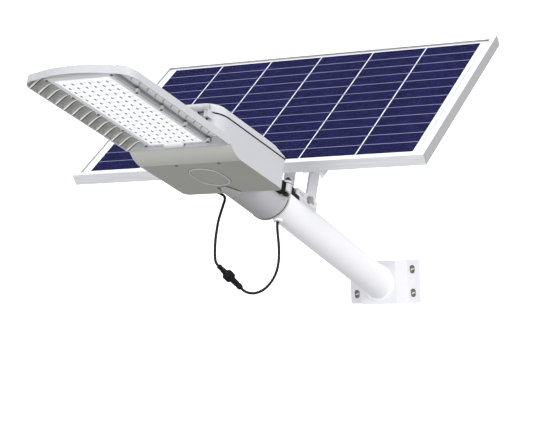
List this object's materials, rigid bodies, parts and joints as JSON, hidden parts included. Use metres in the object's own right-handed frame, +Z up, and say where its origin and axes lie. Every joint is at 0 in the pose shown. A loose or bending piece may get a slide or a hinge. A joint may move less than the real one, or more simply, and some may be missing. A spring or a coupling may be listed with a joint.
{
  "type": "solar street lamp",
  "caption": "Wall-mounted solar street lamp: inclined tube arm, finned flat lamp head with a lens window, hinged battery lid, a tilting framed solar panel and a hanging plug-in lead.",
  "frame": {"origin": "centre of the wall bracket's back face, on the wall plane", "axes": "+Z up, +X to the right seen from the wall outwards along the bracket, +Y into the wall; the arm and lamp head lean out along -Y and up"},
  "size_m": [0.716, 1.0464, 0.4953],
  "materials": {
    "white_paint": "gloss powder coat",
    "bracket_grey": "satin powder coat",
    "cast_silver": "satin grey powder coat on die-cast aluminium",
    "cover_grey": "satin grey powder coat",
    "anodised": "satin anodised",
    "zinc_steel": "zinc plated",
    "dark_steel": "black oxide",
    "rubber_black": "matt",
    "black_plastic": "moulded",
    "white_plastic": "moulded",
    "lens_clear": "clear optical plastic",
    "board_white": "white solder mask",
    "led_yellow": "phosphor",
    "cell_blue": "polycrystalline silicon",
    "ribbon": "tinned copper",
    "pane": "tempered",
    "battery_blue": "shrink sleeve"
  },
  "bodies": {
    "base": {"wall_bracket": "white_paint", "arm_tube": "white_paint", "arm_weld": "white_paint", "arm_grommet": "rubber_black", "arm_lug": "bracket_grey", "lug_bolts": "zinc_steel", "leg_pads": "rubber_black", "leg_left": "bracket_grey", "leg_right": "bracket_grey", "head_housing": "cast_silver", "bottom_cover": "cover_grey", "cover_screws": "dark_steel", "clamp_cap": "cast_silver", "clamp_bolts": "zinc_steel", "socket_seal": "rubber_black", "led_board": "board_white", "led_chips": "led_yellow", "window_gasket": "rubber_black", "lens_plate": "lens_clear", "window_bezel": "cast_silver", "bezel_screws": "dark_steel", "cable_cover": "white_plastic", "battery_tray": "black_plastic", "battery_cells": "battery_blue", "battery_strap": "zinc_steel", "controller": "black_plastic", "lid_gasket": "rubber_black", "gland_body": "black_plastic", "gland_nut": "black_plastic", "hinge_pins": "zinc_steel", "lamp_lead": "rubber_black", "arm_lead": "rubber_black", "lead_plug": "black_plastic", "lead_socket": "black_plastic", "lead_nut": "black_plastic"},
    "lid": {"lid": "cast_silver", "lid_screws": "dark_steel"},
    "panel": {"tilt_bracket": "bracket_grey", "tilt_bolts": "zinc_steel", "cross_rail": "anodised", "rail_left": "anodised", "rail_right": "anodised", "rail_bolts": "zinc_steel", "frame_bottom": "anodised", "frame_top": "anodised", "frame_left": "anodised", "frame_right": "anodised", "corner_keys": "anodised", "panel_glass": "pane", "panel_cells": "cell_blue", "panel_ribbons": "ribbon", "panel_backsheet": "white_plastic", "junction_box": "black_plastic", "junction_lid": "black_plastic"}
  },
  "joints": [
    {"name": "panel_tilt", "type": "hinge", "parent": "base", "child": "panel", "pos_m": [0, -0.30224, 0.2668], "axis": [-1, 0, 0], "range_deg": [0, 25]},
    {"name": "lid_hinge", "type": "hinge", "parent": "base", "child": "lid", "pos_m": [0, -0.78193, 0.31892], "axis": [1, 0, 0], "range_deg": [0, 75]}
  ]
}
